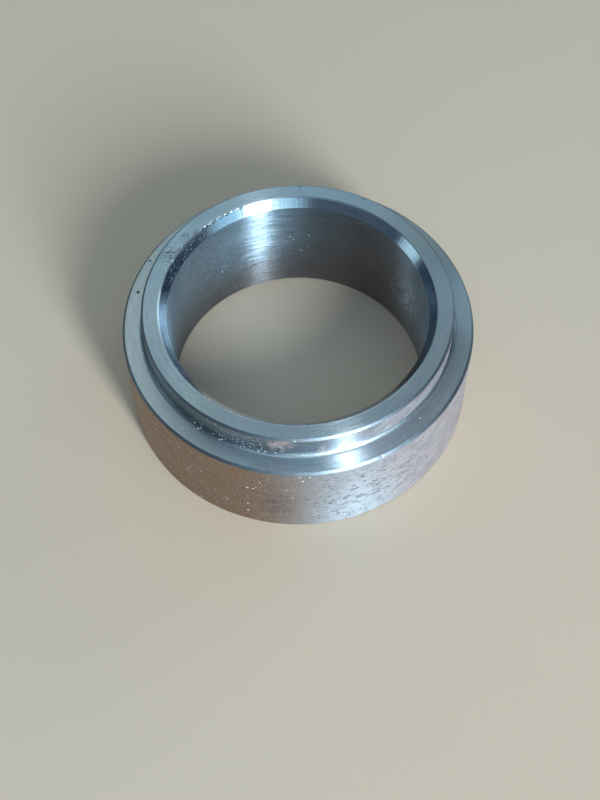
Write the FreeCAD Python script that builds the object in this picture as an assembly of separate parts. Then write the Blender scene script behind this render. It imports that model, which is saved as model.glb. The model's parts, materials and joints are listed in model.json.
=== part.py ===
import FreeCAD, Part

import math
import os

# Stepped shaft collar: one piece of steel, turned all over.
#
# Frame, in millimetres: +Z runs along the bore towards the spigot, and the origin is on the
# axis at the flat base that the collar stands on.

# Driving dimensions
BODY_DIAMETER = 60.0
SPIGOT_DIAMETER = 52.8
BORE_DIAMETER = 44.4
OVERALL_LENGTH = 22.6
SPIGOT_LENGTH = 4.6

# Edges and corners
MOUTH_CHAMFER_WIDTH = 1.3  # lead-in at the spigot end of the bore, measured along the radius
MOUTH_CHAMFER_DEPTH = 1.55  # the same lead-in, measured along the axis
BASE_BORE_CHAMFER = 0.5  # 45 degree edge break at the base end of the bore
SPIGOT_EDGE_RADIUS = 0.45
SHOULDER_EDGE_RADIUS = 0.5
BASE_EDGE_RADIUS = 0.3
CORNER_FILLET = 0.8  # left by the nose of the tool, where the spigot meets the shoulder

# Worked out from the dimensions above
BODY_RADIUS = BODY_DIAMETER / 2
SPIGOT_RADIUS = SPIGOT_DIAMETER / 2
BORE_RADIUS = BORE_DIAMETER / 2
SHOULDER_HEIGHT = OVERALL_LENGTH - SPIGOT_LENGTH

COLLAR_NODE = "stepped_collar"


def point(radius, height):
    """A point of the half section, which lies in the XZ plane."""
    return FreeCAD.Vector(radius, 0, height)


def quarter_arc(start, end, centre):
    """A quarter circle about centre, from start to end, bulging away from the centre."""
    radius = start.distanceToPoint(centre)
    towards_middle = (start + end) * 0.5 - centre
    middle = centre + towards_middle * (radius / towards_middle.Length)
    return Part.Arc(start, middle, end).toShape()


def collar_section():
    """The closed half section, anticlockwise from the inner edge of the base."""
    base_inner = point(BORE_RADIUS + BASE_BORE_CHAMFER, 0)
    base_outer = point(BODY_RADIUS - BASE_EDGE_RADIUS, 0)
    body_low = point(BODY_RADIUS, BASE_EDGE_RADIUS)
    body_high = point(BODY_RADIUS, SHOULDER_HEIGHT - SHOULDER_EDGE_RADIUS)
    shoulder_outer = point(BODY_RADIUS - SHOULDER_EDGE_RADIUS, SHOULDER_HEIGHT)
    shoulder_inner = point(SPIGOT_RADIUS + CORNER_FILLET, SHOULDER_HEIGHT)
    spigot_low = point(SPIGOT_RADIUS, SHOULDER_HEIGHT + CORNER_FILLET)
    spigot_high = point(SPIGOT_RADIUS, OVERALL_LENGTH - SPIGOT_EDGE_RADIUS)
    face_outer = point(SPIGOT_RADIUS - SPIGOT_EDGE_RADIUS, OVERALL_LENGTH)
    face_inner = point(BORE_RADIUS + MOUTH_CHAMFER_WIDTH, OVERALL_LENGTH)
    bore_high = point(BORE_RADIUS, OVERALL_LENGTH - MOUTH_CHAMFER_DEPTH)
    bore_low = point(BORE_RADIUS, BASE_BORE_CHAMFER)

    base_edge_centre = point(base_outer.x, body_low.z)
    shoulder_edge_centre = point(shoulder_outer.x, body_high.z)
    fillet_centre = point(shoulder_inner.x, spigot_low.z)
    spigot_edge_centre = point(face_outer.x, spigot_high.z)

    return Part.Wire(
        [
            Part.makeLine(base_inner, base_outer),
            quarter_arc(base_outer, body_low, base_edge_centre),
            Part.makeLine(body_low, body_high),
            quarter_arc(body_high, shoulder_outer, shoulder_edge_centre),
            Part.makeLine(shoulder_outer, shoulder_inner),
            quarter_arc(shoulder_inner, spigot_low, fillet_centre),
            Part.makeLine(spigot_low, spigot_high),
            quarter_arc(spigot_high, face_outer, spigot_edge_centre),
            Part.makeLine(face_outer, face_inner),
            Part.makeLine(face_inner, bore_high),
            Part.makeLine(bore_high, bore_low),
            Part.makeLine(bore_low, base_inner),
        ]
    )


def make_collar():
    """The section turned once about the axis."""
    section = Part.Face(collar_section())
    whole = section.revolve(point(0, 0), FreeCAD.Vector(0, 0, 1), 360)
    return Part.makeSolid(whole.Shells[0])


def ring_volume(outer_radius, inner_radius, height):
    return math.pi * (outer_radius**2 - inner_radius**2) * height


def export(name, shape):
    """Writes one node's STEP, and prints its size and how close it is to plain rings."""
    plain = ring_volume(BODY_RADIUS, BORE_RADIUS, SHOULDER_HEIGHT)
    plain += ring_volume(SPIGOT_RADIUS, BORE_RADIUS, SPIGOT_LENGTH)
    box = shape.optimalBoundingBox()
    print(f"{name}: valid {shape.isValid()}, solids {len(shape.Solids)}, faces {len(shape.Faces)}")
    print(f"  box {box.XLength:.2f} x {box.YLength:.2f} x {box.ZLength:.2f} mm")
    print(f"  volume {shape.Volume:.1f} mm3, and {plain:.1f} with every edge sharp")
    shape.exportStep(os.path.join("parts", name + ".step"))


def main():
    os.makedirs("parts", exist_ok=True)
    export(COLLAR_NODE, make_collar())


main()
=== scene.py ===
import json
import math

import bpy
import numpy as np
from mathutils import Matrix, Vector


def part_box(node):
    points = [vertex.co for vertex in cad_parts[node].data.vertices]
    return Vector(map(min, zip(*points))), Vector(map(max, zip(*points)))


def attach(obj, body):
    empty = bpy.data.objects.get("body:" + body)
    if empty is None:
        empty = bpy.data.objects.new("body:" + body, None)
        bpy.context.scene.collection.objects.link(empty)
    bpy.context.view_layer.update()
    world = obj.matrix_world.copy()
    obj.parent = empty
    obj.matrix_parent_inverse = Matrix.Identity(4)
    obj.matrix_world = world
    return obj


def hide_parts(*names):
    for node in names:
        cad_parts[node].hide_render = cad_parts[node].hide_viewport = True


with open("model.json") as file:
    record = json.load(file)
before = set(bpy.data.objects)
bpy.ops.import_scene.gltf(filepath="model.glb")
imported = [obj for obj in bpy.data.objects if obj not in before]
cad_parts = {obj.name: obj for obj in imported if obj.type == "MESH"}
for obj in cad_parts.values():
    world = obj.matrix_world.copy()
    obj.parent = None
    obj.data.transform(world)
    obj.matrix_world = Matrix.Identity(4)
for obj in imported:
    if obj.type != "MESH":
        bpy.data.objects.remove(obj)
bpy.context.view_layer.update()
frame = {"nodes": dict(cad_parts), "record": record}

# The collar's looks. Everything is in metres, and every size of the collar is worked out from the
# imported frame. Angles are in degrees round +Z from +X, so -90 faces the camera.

MM = 0.001
NODE = "stepped_collar"

# ---------------------------------------------------------------- sizes, read from the frame

MOUNTS = {mount["name"]: mount for mount in frame["record"]["mounts"]}
HALF_BORE_WALL = MOUNTS["bore"]["dims"]["length_mm"] * MM / 2
BODY_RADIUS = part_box(NODE)[1].x
SPIGOT_RADIUS = MOUNTS["spigot_register"]["dims"]["r_mm"] * MM
BORE_RADIUS = MOUNTS["bore"]["dims"]["r_mm"] * MM
TOP = MOUNTS["top_face"]["pos_m"][2]
SHOULDER = MOUNTS["shoulder_face"]["pos_m"][2]
BASE = MOUNTS["base_face"]["pos_m"][2]
BORE_TOP = MOUNTS["bore"]["pos_m"][2] + HALF_BORE_WALL
BORE_FOOT = MOUNTS["bore"]["pos_m"][2] - HALF_BORE_WALL


def radii_at(height):
    """The smallest and largest radius of the CAD mesh at a height where it has a flat face."""
    corners = [v.co for v in frame["nodes"][NODE].data.vertices]
    radii = [math.hypot(co.x, co.y) for co in corners if abs(co.z - height) < 0.01 * MM]
    return min(radii), max(radii)


BASE_MOUTH_RADIUS, BASE_FACE_RADIUS = radii_at(BASE)
SHOULDER_FOOT_RADIUS, SHOULDER_FACE_RADIUS = radii_at(SHOULDER)
MOUTH_RADIUS, TOP_FACE_RADIUS = radii_at(TOP)

# ---------------------------------------------------------------- the ring's mesh

SEGMENTS = 1080  # points round each ring of the mesh
BURNISH = 0.08 * MM  # how far the sharp corners are rounded off
MOUTH_BURNISH = 0.45 * MM  # and the bore's mouth, which is handled most
EDGE_FLATNESS = 0.75  # the edges were broken with a file: 0 is a round arc and 1 is a flat
SUPPORT = 0.05 * MM  # a ring this close to each corner keeps the flats flat
FACE_STEP = 0.35 * MM  # the spacing of the rings on the visible faces
WALL_STEP = 0.6 * MM  # and on the walls and the base

# Each corner of the half section: radius, height, rounding radius, steps of its arc, the arc's
# material, then the spacing of the rings and the material of the stretch that follows it.
CORNERS = [
    (BASE_MOUTH_RADIUS, BASE, BURNISH, 3, "lip", WALL_STEP, "faced"),
    (BODY_RADIUS, BASE, BODY_RADIUS - BASE_FACE_RADIUS, 6, "edge", WALL_STEP, "outer"),
    (BODY_RADIUS, SHOULDER, BODY_RADIUS - SHOULDER_FACE_RADIUS, 8, "edge", FACE_STEP, "shoulder"),
    (SPIGOT_RADIUS, SHOULDER, SHOULDER_FOOT_RADIUS - SPIGOT_RADIUS, 10, "fillet", FACE_STEP, "spigot"),
    (SPIGOT_RADIUS, TOP, SPIGOT_RADIUS - TOP_FACE_RADIUS, 8, "edge", FACE_STEP, "faced"),
    (MOUTH_RADIUS, TOP, MOUTH_BURNISH, 6, "lip", FACE_STEP, "chamfer"),
    (BORE_RADIUS, BORE_TOP, BURNISH, 4, "lip", WALL_STEP, "bored"),
    (BORE_RADIUS, BORE_FOOT, BURNISH, 3, "lip", FACE_STEP, "chamfer"),
]


def rounded(before, corner, after, radius, steps, flatness):
    """The points of an arc that touches both sides of a corner, drawn towards its chord."""
    corner = np.array(corner)
    to_before = np.array(before) - corner
    to_after = np.array(after) - corner
    to_before /= np.linalg.norm(to_before)
    to_after /= np.linalg.norm(to_after)
    half = math.acos(float(np.dot(to_before, to_after))) / 2
    bisector = to_before + to_after
    centre = corner + bisector / np.linalg.norm(bisector) * radius / math.sin(half)
    start = corner + to_before * radius / math.tan(half) - centre
    end = corner + to_after * radius / math.tan(half) - centre
    sweep = math.pi - 2 * half
    points = []
    for t in np.linspace(0, 1, steps + 1):
        arc = (start * math.sin((1 - t) * sweep) + end * math.sin(t * sweep)) / math.sin(sweep)
        chord = start * (1 - t) + end * t
        points.append(centre + arc * (1 - flatness) + chord * flatness)
    return points


def straight(start, end, spacing):
    """The points between two arcs, with one close to each so that the shading stays flat."""
    length = float(np.linalg.norm(end - start))
    if length < 4 * SUPPORT:
        return []
    count = max(1, round((length - 2 * SUPPORT) / spacing))
    places = np.linspace(SUPPORT, length - SUPPORT, count + 1)
    return [start + (end - start) * place / length for place in places]


def half_section():
    """Every point of the section, and for each the material of the band that follows it."""
    places = [corner[:2] for corner in CORNERS]
    arcs = []
    for index, corner in enumerate(CORNERS):
        before, after = places[index - 1], places[(index + 1) % len(places)]
        flatness = EDGE_FLATNESS if corner[4] == "edge" else 0.0
        arcs.append(rounded(before, places[index], after, corner[2], corner[3], flatness))
    points, bands = [], []
    for index, corner in enumerate(CORNERS):
        arc_band, spacing, band = corner[4:]
        between = straight(arcs[index][-1], arcs[(index + 1) % len(arcs)][0], spacing)
        points += arcs[index] + between
        bands += [arc_band] * (len(arcs[index]) - 1) + [band] * (len(between) + 1)
    return np.array(points), bands


def outward(points):
    """The outward direction at each point of the closed section."""
    along = np.roll(points, -1, axis=0) - np.roll(points, 1, axis=0)
    across = np.stack([along[:, 1], -along[:, 0]], axis=1)
    return across / np.linalg.norm(across, axis=1, keepdims=True)


# Marks that are seen singly: angle, radius, height, size and depth.
NICKS = [
    (-272, TOP_FACE_RADIUS, TOP, 0.55 * MM, 0.10 * MM),
    (-298, TOP_FACE_RADIUS, TOP, 0.45 * MM, 0.09 * MM),
    (-193, BODY_RADIUS - 1.6 * MM, SHOULDER, 0.40 * MM, 0.11 * MM),
    (-207, BODY_RADIUS - 0.9 * MM, SHOULDER, 0.40 * MM, 0.11 * MM),
]
EDGES = [  # edges that carry small random nicks: radius, height, how many
    (BODY_RADIUS - 0.13 * MM, SHOULDER - 0.13 * MM, 60),
    (SPIGOT_RADIUS - 0.12 * MM, TOP - 0.12 * MM, 40),
    (MOUTH_RADIUS, TOP, 9),
    (BODY_RADIUS - 0.08 * MM, BASE + 0.08 * MM, 30),
]
NICK_SEED = 44
NICK_SIZES = (0.16, 0.42)  # of the random nicks, in millimetres
NICK_DEPTHS = (0.06, 0.14)  # in sizes of the nick

# The lip of the bore's mouth has a ragged burr over one span of angles and is chipped over the next.
BURR, BURR_REACH, BURR_WIDTH = (-247, -223), 0.55 * MM, 0.24 * MM
CHIPS, CHIP_DEPTH, CHIP_WIDTH = (-226, -201), 0.20 * MM, 0.42 * MM
SPAN_FADE = 4  # degrees over which each of them dies away
TEETH_SEED = 7


def all_nicks():
    """The single marks and the random ones on the edges. The seed makes every run the same."""
    draw = np.random.default_rng(NICK_SEED)
    nicks = list(NICKS)
    for radius, height, count in EDGES:
        for _ in range(count):
            size = draw.uniform(*NICK_SIZES) * MM
            angle = draw.uniform(-360, 0)
            nicks.append((angle, radius, height, size, size * draw.uniform(*NICK_DEPTHS)))
    return nicks


def torn_teeth():
    """A height from 0 to 1 for each point round a ring, uneven as torn metal is, and 0 in the gaps."""
    draw = np.random.default_rng(TEETH_SEED)
    ragged = np.convolve(draw.uniform(0, 1, SEGMENTS), np.ones(5) / 5, mode="same")
    return np.clip((ragged - 0.42) * 4, 0, 1)


def on_lip(co, span, width):
    """1 on the mouth's lip inside a span of angles, and 0 past its ends or that far from the lip."""
    turn = np.degrees(np.arctan2(co[:, 1], co[:, 0]))
    turn = np.where(turn > 0, turn - 360, turn)
    away = np.hypot(np.hypot(co[:, 0], co[:, 1]) - MOUTH_RADIUS, co[:, 2] - TOP)
    inside = np.clip(np.minimum(turn - span[0], span[1] - turn) / SPAN_FADE, 0, 1)
    return inside * np.clip(1 - away / width, 0, 1)


def worn(co, normals):
    """The ring's points with the nicks pressed in, and with the bore's mouth burred and chipped."""
    moved = co.copy()
    for angle, radius, height, size, depth in all_nicks():
        turn = math.radians(angle)
        centre = np.array([radius * math.cos(turn), radius * math.sin(turn), height])
        away = np.linalg.norm(co - centre, axis=1) / size
        near = away < 1
        moved[near] -= normals[near] * (depth * (1 - away[near] ** 2) ** 2)[:, None]

    teeth = np.tile(torn_teeth(), len(co) // SEGMENTS)
    reach = BURR_REACH * on_lip(co, BURR, BURR_WIDTH) * teeth
    radial = np.hypot(co[:, 0], co[:, 1])
    moved[:, :2] -= co[:, :2] / radial[:, None] * reach[:, None]
    moved[:, 2] -= CHIP_DEPTH * on_lip(co, CHIPS, CHIP_WIDTH) * teeth
    return moved


def make_ring(materials):
    """One closed mesh: the half section turned about +Z, then worn."""
    section, bands = half_section()
    facing = outward(section)
    turns = np.linspace(0, 2 * math.pi, SEGMENTS, endpoint=False)
    cos, sin = np.cos(turns), np.sin(turns)

    def turned(pairs):
        rings = [np.stack([r * cos, r * sin, np.full(SEGMENTS, z)], axis=1) for r, z in pairs]
        return np.concatenate(rings)

    co = worn(turned(section), turned(facing))
    faces, names = [], []
    for index, band in enumerate(bands):
        low, high = index * SEGMENTS, (index + 1) % len(section) * SEGMENTS
        for step in range(SEGMENTS):
            after = (step + 1) % SEGMENTS
            faces.append((low + step, low + after, high + after, high + step))
            names.append(band)

    mesh = bpy.data.meshes.new("turned_ring")
    mesh.from_pydata(co.tolist(), [], faces)
    order = list(materials)
    for name in order:
        mesh.materials.append(materials[name])
    mesh.polygons.foreach_set("material_index", [order.index(name) for name in names])
    mesh.polygons.foreach_set("use_smooth", [True] * len(faces))
    mesh.update()
    ring = bpy.data.objects.new("turned_ring", mesh)
    bpy.context.collection.objects.link(ring)
    return ring


# ---------------------------------------------------------------- materials

# Bare steel, from dark to bright. A surface drifts from one of these to the next. DEEP also serves as
# painted shade on the spigot's wall, and GLEAM as painted light on the fillet and the shoulder.
DEEP = (0.40, 0.45, 0.49)
COOL = (0.50, 0.555, 0.60)
PALE = (0.575, 0.625, 0.66)
BRIGHT = (0.63, 0.67, 0.70)
GLEAM = (0.75, 0.765, 0.755)

# Thin coats on the steel, and painted light and painted shade laid on it. Where there are two shades, the
# colour drifts from one to the other.
PAINTED_BLUE_SHADE = ((0.25, 0.33, 0.40), (0.34, 0.41, 0.46))  # painted shade: a bluish dark on the chamfer
FILM = ((0.42, 0.31, 0.33), (0.69, 0.62, 0.635))  # dull oxide on one side of the outer walls
PAINTED_WARM_REFLECTION = ((0.25, 0.138, 0.078), (0.45, 0.285, 0.178))  # painted reflection: the brown of a floor, mirrored on the other side
# Painted reflection: a pale blue that brightens the steel where it mirrors the window and the sky.
PAINTED_BLUE_REFLECTION = (0.58, 0.73, 0.84)
# Painted sheen: a pale blue reflection of light, low on the front of the outer wall.
PAINTED_SHEEN = (0.70, 0.80, 0.88)
HAZE = (0.66, 0.725, 0.75)  # dried bloom
# Painted shade: a dimming of the steel on the right of the top face, the shoulder and the lip.
PAINTED_DIMMING = (0.31, 0.36, 0.40)
SHADE = (0.17, 0.21, 0.24)
SMUDGE = (0.17, 0.14, 0.16)
PAINTED_DARK_REFLECTION = (0.24, 0.19, 0.165)  # painted reflection and shade: a dark brown in the lower half of the bore and on its right

# What lies in the marks and on the surface. The pale grains also serve as painted glints.
GRIME = (0.10, 0.085, 0.085)
RUST = (0.50, 0.34, 0.32)
DUST_AND_GLINTS = (0.84, 0.87, 0.86)

# The spacing of the turning marks.
FINE = 0.20 * MM
COARSE = 0.26 * MM
BORE_PITCH = 0.27 * MM

RELIEF_HEIGHT = 0.012 * MM  # how deep the finest marks are
RELIEF_STRENGTH = 0.5


class Shader:
    """Adds the nodes of one material and links them."""

    def __init__(self, name):
        self.material = bpy.data.materials.new(name)
        self.material.use_nodes = True
        self.tree = self.material.node_tree
        self.tree.nodes.clear()

    def add(self, kind, values=None, **settings):
        """A node. A value that is a socket is linked, and any other is set."""
        node = self.tree.nodes.new(kind)
        for key, value in settings.items():
            setattr(node, key, value)
        for key, value in (values or {}).items():
            if isinstance(value, bpy.types.NodeSocket):
                self.tree.links.new(value, node.inputs[key])
            else:
                node.inputs[key].default_value = value
        return node

    def math(self, operation, first, second=0.0):
        return self.add("ShaderNodeMath", {0: first, 1: second}, operation=operation).outputs[0]

    def product(self, first, *others):
        for other in others:
            first = self.math("MULTIPLY", first, other)
        return first

    def span(self, value, low, high, to_low=0.0, to_high=1.0):
        """The value carried from one span to another, smoothly, and held at the ends."""
        sockets = {
            "Value": value,
            "From Min": low,
            "From Max": high,
            "To Min": to_low,
            "To Max": to_high,
        }
        return self.add("ShaderNodeMapRange", sockets, interpolation_type="SMOOTHSTEP").outputs[0]

    def noise(self, vector, scale, detail=2.0, roughness=0.5):
        sockets = {"Vector": vector, "Scale": scale, "Detail": detail, "Roughness": roughness}
        return self.add("ShaderNodeTexNoise", sockets).outputs["Fac"]

    def mix(self, amount, first, second):
        node = self.add("ShaderNodeMix", {"Factor": amount}, data_type="RGBA")
        for socket, colour in ((node.inputs[6], first), (node.inputs[7], second)):
            if isinstance(colour, bpy.types.NodeSocket):
                self.tree.links.new(colour, socket)
            else:
                socket.default_value = (*colour, 1.0)
        return node.outputs[2]

    def finish(self, sockets):
        surface = self.add("ShaderNodeBsdfPrincipled", sockets)
        self.add("ShaderNodeOutputMaterial", {"Surface": surface.outputs[0]})
        return self.material


class Steel(Shader):
    """Turned steel. Marks, stains, painted light and painted shade are laid on it one after another, and
    then it is finished.

    A place is an angle, a radius, a height and a size. A mark there fades out at that size away."""

    def __init__(self, name, lies_flat, pitch, colours, lines, grain):
        """Lines is the strength of the turning marks, and grain the strength of the fine speckle."""
        super().__init__(name)
        self.point = self.add("ShaderNodeTexCoord").outputs["Object"]
        parts = self.add("ShaderNodeSeparateXYZ", {0: self.point}).outputs
        flat = self.add("ShaderNodeCombineXYZ", {0: parts[0], 1: parts[1]}).outputs[0]
        self.unit = self.add("ShaderNodeVectorMath", {0: flat}, operation="NORMALIZE").outputs[0]
        radius = self.add("ShaderNodeVectorMath", {0: flat}, operation="LENGTH").outputs["Value"]
        self.height = parts[2]
        self.across = radius if lies_flat else self.height

        turned = self.noise(self.round_lines(7.0, pitch), 1.0, 3.0, 0.7)
        wide = self.noise(self.round_lines(3.0, 2.6 * pitch), 1.0, 2.0)
        cloud = self.noise(self.point, 150.0, 4.0, 0.6)
        self.speckle = self.noise(self.point, 3600.0, 2.0, 0.7)
        self.colour = self.mix(self.span(cloud, 0.32, 0.68), *colours)
        self.metallic = 1.0
        fine_marks = self.span(turned, 0.32, 0.68, -0.05 * lines, 0.05 * lines)
        wide_marks = self.span(wide, 0.3, 0.7, -0.025 * lines, 0.025 * lines)
        self.roughness = self.math("ADD", fine_marks, wide_marks)
        speckled = self.product(self.speckle, 0.25 + 1.4 * grain)
        self.relief = self.math("ADD", self.product(turned, lines), speckled)
        self.lay(self.span(turned, 0.62, 0.38, 0.0, 0.22 * lines), GRIME)
        self.lay(self.span(self.speckle, 0.60, 0.36, 0.0, 0.10 + 0.42 * grain), GRIME)

    def scaled(self, vector, factor):
        return self.add("ShaderNodeVectorMath", {0: vector, 3: factor}, operation="SCALE").outputs[0]

    def raised(self, vector, height):
        upward = self.add("ShaderNodeCombineXYZ", {2: height}).outputs[0]
        return self.add("ShaderNodeVectorMath", {0: vector, 1: upward}, operation="ADD").outputs[0]

    def round_lines(self, stretch, pitch):
        """A point that changes slowly round the ring and fast across it, with no seam."""
        return self.raised(self.scaled(self.unit, stretch), self.math("DIVIDE", self.across, pitch))

    def lay(self, mask, colour, dull=0.0, rough=0.0, sunk=0.0):
        """Covers the steel where the mask is 1, and makes it duller, rougher or lower there."""
        self.colour = self.mix(mask, self.colour, colour)
        if dull:
            kept = self.math("SUBTRACT", 1.0, self.product(mask, dull))
            self.metallic = self.math("MULTIPLY", self.metallic, kept)
        if rough:
            self.roughness = self.math("ADD", self.roughness, self.product(mask, rough))
        if sunk:
            self.relief = self.math("SUBTRACT", self.relief, self.product(mask, sunk))

    def patch(self, angle, radius, height, size):
        """1 at a place on the collar, falling to 0 at that size away from it."""
        turn = math.radians(angle)
        centre = (radius * math.cos(turn), radius * math.sin(turn), height)
        away = self.add("ShaderNodeVectorMath", {0: self.point, 1: centre}, operation="DISTANCE")
        return self.span(away.outputs["Value"], 0.0, size, 1.0, 0.0)

    def painted_patch(self, place, share, colour):
        """Painted light and painted shade: a colour that thins all the way from the middle of its place.
        """
        self.lay(self.product(self.patch(*place), share), colour)

    def paint_shade(self, place, full, share, colour):
        """Painted shade that is even where the patch is above the given value, and thins only outside it.
        """
        self.lay(self.span(self.patch(*place), 0.0, full, 0.0, share), colour)

    def film_and_painted_light(self, place, strength, shades, dull, streaked):
        """A thin layer that reaches most of the way across a patch, streaked round the ring: a real film,
        and in some colours painted reflection and painted shade.
        """
        streaks = self.noise(self.round_lines(8.0, 0.5 * MM), 1.0, 5.0, 0.7)
        reach = self.span(self.patch(*place), 0.05, 0.55)
        mask = self.product(reach, self.span(streaks, 0.32, 0.60, 1.0 - streaked, 1.0), strength)
        drawn = self.product(self.noise(self.round_lines(11.0, 0.42 * MM), 1.0, 4.0, 0.7), streaked)
        shade = self.math("ADD", drawn, self.product(self.speckle, 1.0 - streaked))
        self.lay(mask, self.mix(self.span(shade, 0.41, 0.59), *shades), dull)

    def cracks(self, place):
        """Thin wavy dark lines, roughly level and often broken, where the skin has cracked."""
        bend = self.product(self.noise(self.point, 700.0, 3.0, 0.6), 4.0)
        wavy = self.raised(self.round_lines(10.0, 0.46 * MM), bend)
        level = self.math("SUBTRACT", self.noise(wavy, 1.0, 3.0, 0.55), 0.5)
        lines = self.span(self.math("ABSOLUTE", level), 0.012, 0.042, 1.0, 0.0)
        broken = self.span(self.noise(self.round_lines(20.0, 0.9 * MM), 1.0, 3.0, 0.6), 0.45, 0.54)
        self.lay(self.product(lines, broken, self.patch(*place)), GRIME, rough=0.2, sunk=6.0)

    def rust(self, place):
        spots = self.span(self.noise(self.point, 900.0, 4.0, 0.8), 0.40, 0.56)
        spread = self.product(self.patch(*place), spots)
        self.lay(self.span(spread, 0.05, 0.55, 0.0, 0.72), RUST, dull=0.75, rough=0.2)

    def specks(self, place, spacing, size, share):
        """Dust, and painted glints on the spigot and the fillet: pale grains of about the given size, in
        a share of the cells that they are drawn from.
        """
        cells = self.add("ShaderNodeTexVoronoi", {"Vector": self.point, "Scale": 1.0 / spacing}).outputs
        chance = self.add("ShaderNodeSeparateColor", {0: cells["Color"]}).outputs
        chosen = self.math("LESS_THAN", chance[0], self.product(self.patch(*place), share))
        away = self.math("DIVIDE", cells["Distance"], self.span(chance[1], 0.0, 1.0, 0.45, 1.15))
        uneven = self.math("ADD", away, self.span(self.speckle, 0.3, 0.7, -0.05, 0.05))
        grain = self.span(uneven, 0.5 * size / spacing, size / spacing, 1.0, 0.0)
        self.lay(self.product(grain, chosen), DUST_AND_GLINTS, dull=1.0, rough=0.3)

    def chatter(self, strength):
        """Fine marks straight across the surface, left by the tool as it shook."""
        shake = self.noise(self.scaled(self.unit, 58.0), 1.0, 3.0, 0.65)
        self.relief = self.math("ADD", self.relief, self.product(shake, strength))
        self.roughness = self.math("ADD", self.roughness, self.span(shake, 0.35, 0.65, -0.03, 0.05))

    def turned_finish(self, roughness, anisotropy):
        """The tool's marks run round the ring, so the gloss spreads across them."""
        relief = {"Height": self.relief, "Strength": RELIEF_STRENGTH, "Distance": RELIEF_HEIGHT}
        bump = self.add("ShaderNodeBump", relief)
        tangent = self.add("ShaderNodeTangent", direction_type="RADIAL", axis="Z")
        return self.finish({
            "Base Color": self.colour,
            "Metallic": self.metallic,
            "Roughness": self.math("ADD", self.roughness, roughness),
            "Anisotropic": anisotropy,
            "Anisotropic Rotation": 0.25,  # a quarter turn, because the marks run along the tangent
            "Tangent": tangent.outputs[0],
            "Normal": bump.outputs[0],
        })


def faced_steel():
    middle = (MOUTH_RADIUS + TOP_FACE_RADIUS) / 2
    s = Steel("faced_steel", True, FINE, (COOL, PALE), lines=0.8, grain=0.15)
    # Painted reflection: pale blue at two places on the top face, and painted shade on its right.
    for angle, colour, share in ((-216, PAINTED_BLUE_REFLECTION, 0.6), (-284, PAINTED_BLUE_REFLECTION, 0.6), (-349, PAINTED_DIMMING, 0.9)):
        s.painted_patch((angle, middle, TOP, 0.8 * middle), share, colour)
    scratches = s.span(s.noise(s.point, 2600.0, 4.0, 0.75), 0.515, 0.59)
    for angle, radius, size in ((-206, middle, 2.8 * MM), (-217, MOUTH_RADIUS + 0.3 * MM, 2.2 * MM)):
        s.lay(s.product(scratches, s.patch(angle, radius, TOP, size)), GRIME, sunk=1.5)
    s.specks((-130, SPIGOT_RADIUS, TOP, 1.6 * SPIGOT_RADIUS), 1.7 * MM, 0.15 * MM, share=0.35)
    return s.turned_finish(0.32, 0.95)


def shoulder_steel():
    # Painted light: a brighter steel than the other faces, a painted highlight on the left and painted
    # shade on the right.
    colours = ((0.62, 0.66, 0.69), (0.69, 0.73, 0.75))
    s = Steel("shoulder_steel", True, FINE, colours, lines=0.8, grain=0.15)
    s.painted_patch((-180, BODY_RADIUS, SHOULDER, 1.35 * BODY_RADIUS), 0.8, GLEAM)
    s.painted_patch((-350, BODY_RADIUS, SHOULDER, BODY_RADIUS), 0.85, PAINTED_DIMMING)
    for angle, inset, size in ((-193, 1.6 * MM, 0.45 * MM), (-207, 0.9 * MM, 0.33 * MM)):
        pit = s.patch(angle, BODY_RADIUS - inset, SHOULDER, size)
        s.lay(s.span(pit, 0.0, 0.8), GRIME, sunk=2.0)
    s.specks((-105, BODY_RADIUS, SHOULDER, 1.5 * BODY_RADIUS), 1.5 * MM, 0.20 * MM, share=0.8)
    return s.turned_finish(0.35, 1.0)


def outer_steel():
    middle = SHOULDER / 2
    colours = ((0.53, 0.55, 0.61), (0.61, 0.62, 0.67))
    s = Steel("outer_steel", False, COARSE, colours, lines=0.5, grain=0.50)
    # Painted reflection: a warm brown on the left of the wall, where a floor is mirrored.
    s.film_and_painted_light((-147, BODY_RADIUS, middle, 1.5 * BODY_RADIUS), 0.9, PAINTED_WARM_REFLECTION, dull=0.2, streaked=0.15)
    s.film_and_painted_light((-28, BODY_RADIUS, middle, BODY_RADIUS), 0.95, FILM, dull=0.7, streaked=0.6)
    # Painted sheen: a pale blue reflection low on the front of the wall.
    s.painted_patch((-71, BODY_RADIUS, 0.2 * SHOULDER, 12 * MM), 0.6, PAINTED_SHEEN)
    s.cracks((-70, BODY_RADIUS, 0.45 * SHOULDER, 19 * MM))
    smear = s.span(s.noise(s.round_lines(6.0, 1.3 * MM), 1.0, 4.0, 0.6), 0.40, 0.60)
    smeared = s.patch(-99.5, BODY_RADIUS, 0.42 * SHOULDER, 5.5 * MM)
    s.lay(s.product(smear, smeared, 0.78), SMUDGE, rough=0.1)
    s.specks((-125, BODY_RADIUS, SHOULDER, 1.2 * BODY_RADIUS), 1.3 * MM, 0.20 * MM, share=0.9)
    return s.turned_finish(0.44, 0.75)


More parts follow.
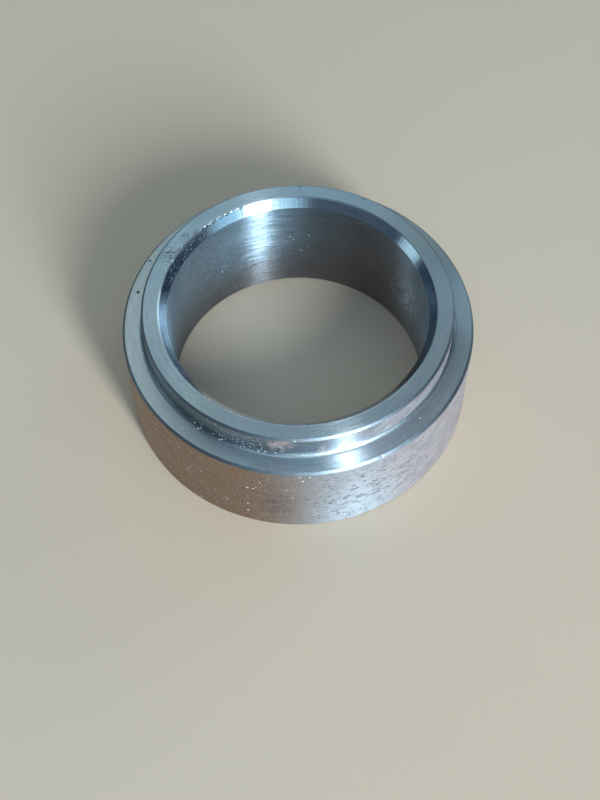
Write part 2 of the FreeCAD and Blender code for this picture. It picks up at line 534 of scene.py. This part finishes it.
def spigot_steel():
    middle = (SHOULDER + TOP) / 2
    # Painted shade: the spigot's wall is given a darker steel than the other faces.
    s = Steel("spigot_steel", False, FINE, (DEEP, COOL), lines=0.6, grain=0.30)
    s.film_and_painted_light((-30, SPIGOT_RADIUS, middle, 0.98 * SPIGOT_RADIUS), 1.0, FILM, dull=0.75, streaked=0.5)
    # Painted shade on the left of the wall.
    s.paint_shade((-158, SPIGOT_RADIUS, middle, 0.85 * SPIGOT_RADIUS), 0.6, 0.75, SHADE)
    s.rust((-97, SPIGOT_RADIUS, middle + 1.1 * MM, 3.6 * MM))
    s.rust((-81, SPIGOT_RADIUS, SHOULDER + MM, 2.0 * MM))
    # Painted glints: pale grains where the dark wall sparkles.
    s.specks((-108, SPIGOT_RADIUS, SHOULDER + MM, 19 * MM), 0.42 * MM, 0.115 * MM, share=0.9)
    return s.turned_finish(0.29, 0.90)


def fillet_steel():
    # Painted highlight: the fillet is given the brightest steel, with painted shade on the left and the
    # right and painted glints at the front.
    s = Steel("fillet_steel", False, FINE, (BRIGHT, GLEAM), lines=0.3, grain=0.35)
    for angle, reach in ((-160, 1.25), (-350, 0.75)):
        s.paint_shade((angle, SPIGOT_RADIUS, SHOULDER, reach * SPIGOT_RADIUS), 0.5, 0.85, SHADE)
    s.specks((-105, SPIGOT_RADIUS, SHOULDER, 1.1 * SPIGOT_RADIUS), 0.45 * MM, 0.13 * MM, share=0.9)
    return s.turned_finish(0.36, 0.6)


def bored_steel():
    # Painted reflection: the bore is given a strong blue steel, for the blue it mirrors.
    colours = ((0.32, 0.475, 0.62), (0.42, 0.60, 0.755))
    s = Steel("bored_steel", False, BORE_PITCH, colours, lines=1.2, grain=0.9)
    # Painted highlight on the far wall, then painted reflection and shade: dark brown towards the bottom
    # and on the right.
    s.painted_patch((-264, BORE_RADIUS, 0.8 * TOP, 0.8 * BORE_RADIUS), 0.6, PAINTED_BLUE_REFLECTION)
    s.lay(s.span(s.height, 0.58 * TOP, 0.10 * TOP, 0.0, 0.65), PAINTED_DARK_REFLECTION)
    s.painted_patch((-312, BORE_RADIUS, 0.35 * TOP, 1.4 * BORE_RADIUS), 0.9, PAINTED_DARK_REFLECTION)
    bloom = s.patch(-214, BORE_RADIUS, 0.75 * TOP, 0.95 * BORE_RADIUS)
    mottled = s.span(s.speckle, 0.3, 0.6, 0.15, 0.5)
    s.lay(s.product(bloom, mottled), HAZE, dull=0.45, rough=0.1)
    splash = s.patch(-334, BORE_RADIUS, 0.45 * TOP, 8 * MM)
    dried = s.span(s.noise(s.point, 900.0, 4.0, 0.65), 0.42, 0.62, 0.0, 0.5)
    s.lay(s.product(splash, dried), HAZE, dull=0.6, rough=0.1)
    s.specks((-222, BORE_RADIUS, 0.6 * TOP, 1.3 * BORE_RADIUS), 0.7 * MM, 0.12 * MM, share=0.6)
    return s.turned_finish(0.35, 1.0)


def chamfer_steel():
    s = Steel("chamfer_steel", False, FINE, (COOL, PALE), lines=0.6, grain=0.10)
    # Painted shade: a bluish dark at two places on the chamfer.
    s.painted_patch((-237, MOUTH_RADIUS, TOP, 7 * MM), 0.75, PAINTED_BLUE_SHADE[0])
    s.film_and_painted_light((-178, MOUTH_RADIUS, TOP, 21 * MM), 1.0, PAINTED_BLUE_SHADE, dull=0.0, streaked=0.5)
    flecks = s.span(s.noise(s.round_lines(34.0, 0.17 * MM), 1.0, 3.0, 0.7), 0.52, 0.66)
    scuffed = s.span(s.patch(-210, MOUTH_RADIUS, TOP, 15 * MM), 0.0, 0.6, 0.0, 0.55)
    s.lay(s.product(flecks, scuffed), BRIGHT, dull=0.5, rough=0.2)
    s.chatter(2.4)
    return s.turned_finish(0.13, 0.5)


def lip_steel():
    # Painted highlight: the lip is given a far brighter steel than the faces beside it, with painted
    # shade on the right.
    colours = ((0.78, 0.84, 0.88), (0.86, 0.90, 0.93))
    s = Steel("lip_steel", False, FINE, colours, lines=0.2, grain=0.35)
    s.paint_shade((-330, MOUTH_RADIUS, TOP, 1.5 * MOUTH_RADIUS), 0.4, 1.0, PAINTED_DIMMING)
    return s.turned_finish(0.32, 0.85)


def edge_steel():
    # Painted shade: the broken edges are given a darker steel than the faces beside them, with more
    # painted shade on the left and the right.
    colours = ((0.40, 0.45, 0.50), (0.48, 0.53, 0.58))
    s = Steel("worn_edge", False, FINE, colours, lines=0.2, grain=0.45)
    for angle, reach, share in ((-165, 1.35, 0.85), (-360, 0.9, 0.6)):
        s.paint_shade((angle, BODY_RADIUS, SHOULDER, reach * BODY_RADIUS), 0.4, share, SHADE)
    s.specks((-110, BODY_RADIUS, SHOULDER, 1.3 * BODY_RADIUS), 1.3 * MM, 0.16 * MM, share=0.8)
    return s.turned_finish(0.50, 0.72)


# The material for each name that CORNERS uses.
SURFACES = {
    "faced": faced_steel,
    "shoulder": shoulder_steel,
    "outer": outer_steel,
    "spigot": spigot_steel,
    "fillet": fillet_steel,
    "bored": bored_steel,
    "chamfer": chamfer_steel,
    "lip": lip_steel,
    "edge": edge_steel,
}


# ---------------------------------------------------------------- floor, light and camera

FLOOR_COLOUR = (0.78, 0.575, 0.42)
FLOOR_SIZE = 3.0
HORIZON, ZENITH = (0.018, 0.038, 0.075, 1), (0.19, 0.26, 0.32, 1)  # the world's two colours


def make_floor():
    mesh = bpy.data.meshes.new("floor")
    reach = FLOOR_SIZE / 2
    corners = [(-reach, -reach, 0), (reach, -reach, 0), (reach, reach, 0), (-reach, reach, 0)]
    mesh.from_pydata(corners, [], [(0, 1, 2, 3)])
    s = Shader("pale_floor")
    point = s.add("ShaderNodeTexCoord").outputs["Object"]
    shade = s.mix(s.noise(point, 9.0, 3.0), FLOOR_COLOUR, tuple(0.94 * part for part in FLOOR_COLOUR))
    mesh.materials.append(s.finish({"Base Color": shade, "Roughness": 0.55}))
    floor = bpy.data.objects.new("floor", mesh)
    bpy.context.collection.objects.link(floor)


def fade_edges(lamp, softness):
    """Makes an area light fade over that share of its width at each edge, as a diffuser does."""
    lamp.use_nodes = True
    tree = lamp.node_tree
    emission = next(node for node in tree.nodes if node.type == "EMISSION")
    place = tree.nodes.new("ShaderNodeNewGeometry").outputs["Parametric"]
    parts = tree.nodes.new("ShaderNodeSeparateXYZ")
    tree.links.new(place, parts.inputs[0])
    both = tree.nodes.new("ShaderNodeMath")
    both.operation = "MULTIPLY"
    for index in range(2):
        centred = tree.nodes.new("ShaderNodeMath")
        centred.operation = "SUBTRACT"
        centred.inputs[1].default_value = 0.5
        tree.links.new(parts.outputs[index], centred.inputs[0])
        distance = tree.nodes.new("ShaderNodeMath")
        distance.operation = "ABSOLUTE"
        tree.links.new(centred.outputs[0], distance.inputs[0])
        fade = tree.nodes.new("ShaderNodeMapRange")
        fade.interpolation_type = "SMOOTHSTEP"
        limits = {"From Min": 0.5 - softness, "From Max": 0.5, "To Min": 1.0, "To Max": 0.0}
        for key, value in limits.items():
            fade.inputs[key].default_value = value
        tree.links.new(distance.outputs[0], fade.inputs["Value"])
        tree.links.new(fade.outputs[0], both.inputs[index])
    tree.links.new(both.outputs[0], emission.inputs["Strength"])


def softbox(name, azimuth, elevation, distance, width, height, radiance, softness=0.28):
    """A rectangular light that faces the collar. Its radiance is red, green and blue, at any size."""
    turn, tilt = math.radians(azimuth), math.radians(elevation)
    towards = Vector((math.cos(turn) * math.cos(tilt), math.sin(turn) * math.cos(tilt), math.sin(tilt)))
    lamp = bpy.data.lights.new(name, "AREA")
    lamp.shape = "RECTANGLE"
    lamp.size, lamp.size_y = width, height
    brightest = max(radiance)
    lamp.color = [part / brightest for part in radiance]
    lamp.energy = brightest * math.pi * width * height  # the power that gives that radiance
    fade_edges(lamp, softness)
    light = bpy.data.objects.new(name, lamp)
    light.location = towards * distance
    light.rotation_euler = (-towards).to_track_quat("-Z", "Y").to_euler()
    bpy.context.collection.objects.link(light)


def make_lights():
    """A window behind the camera's right shoulder and the pale wall round it, a weak panel overhead, a
    glow at each side, and the ceiling beyond the collar."""
    softbox("window", -61.5, 28, 1.1, 0.20, 0.56, (39.0, 47.5, 53.0), 0.18)
    softbox("window_surround", -60, 22, 1.2, 1.9, 0.95, (0.76, 1.26, 1.55))
    softbox("overhead", -99, 64, 1.3, 1.5, 0.9, (0.34, 0.56, 0.75))
    softbox("right_glow", 43, 25, 1.1, 0.48, 0.44, (2.3, 3.3, 3.7))
    softbox("left_glow", -179, 13, 1.1, 0.40, 0.50, (0.68, 1.02, 1.16))
    softbox("ceiling", 122, 53, 1.3, 1.7, 1.2, (0.42, 0.55, 0.55))


def make_world():
    """Dim at the horizon and paler overhead, so that the steel has something to reflect."""
    world = bpy.data.worlds.new("studio")
    world.use_nodes = True
    tree = world.node_tree
    tree.nodes.clear()
    coordinates = tree.nodes.new("ShaderNodeTexCoord")
    parts = tree.nodes.new("ShaderNodeSeparateXYZ")
    ramp = tree.nodes.new("ShaderNodeValToRGB")
    ramp.color_ramp.elements[0].position = 0.05
    ramp.color_ramp.elements[0].color = HORIZON
    ramp.color_ramp.elements[1].position = 0.95
    ramp.color_ramp.elements[1].color = ZENITH
    background = tree.nodes.new("ShaderNodeBackground")
    output = tree.nodes.new("ShaderNodeOutputWorld")
    tree.links.new(coordinates.outputs["Generated"], parts.inputs[0])
    tree.links.new(parts.outputs["Z"], ramp.inputs[0])
    tree.links.new(ramp.outputs[0], background.inputs["Color"])
    tree.links.new(background.outputs[0], output.inputs["Surface"])
    bpy.context.scene.world = world


CAMERA_PLACE = Vector((0.0067, -4.335, 6.784))  # in outer radii of the ring
CAMERA_PITCH = 58.42  # degrees below level
CAMERA_ROLL = -0.63
CAMERA_LENS = 59.5  # millimetres


def make_camera():
    """The camera looks along +Y and down, and is rolled a little about its own line of sight."""
    pitch, roll = math.radians(CAMERA_PITCH), math.radians(CAMERA_ROLL)
    ahead = Vector((0, math.cos(pitch), -math.sin(pitch)))
    level = Vector((1, 0, 0))
    upright = level.cross(ahead)
    right = level * math.cos(roll) + upright * math.sin(roll)
    up = upright * math.cos(roll) - level * math.sin(roll)
    lens = bpy.data.cameras.new("camera")
    lens.lens = CAMERA_LENS
    lens.sensor_width = 36.0
    lens.clip_start, lens.clip_end = 0.01, 20.0
    camera = bpy.data.objects.new("camera", lens)
    turn = Matrix((right, up, -ahead)).transposed().to_4x4()
    camera.matrix_world = Matrix.Translation(CAMERA_PLACE * BODY_RADIUS) @ turn
    bpy.context.collection.objects.link(camera)
    bpy.context.scene.camera = camera


ring = make_ring({name: make() for name, make in SURFACES.items()})
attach(ring, "root")
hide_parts(NODE)
make_floor()
make_lights()
make_world()
make_camera()
bpy.context.scene.view_settings.view_transform = "Standard"
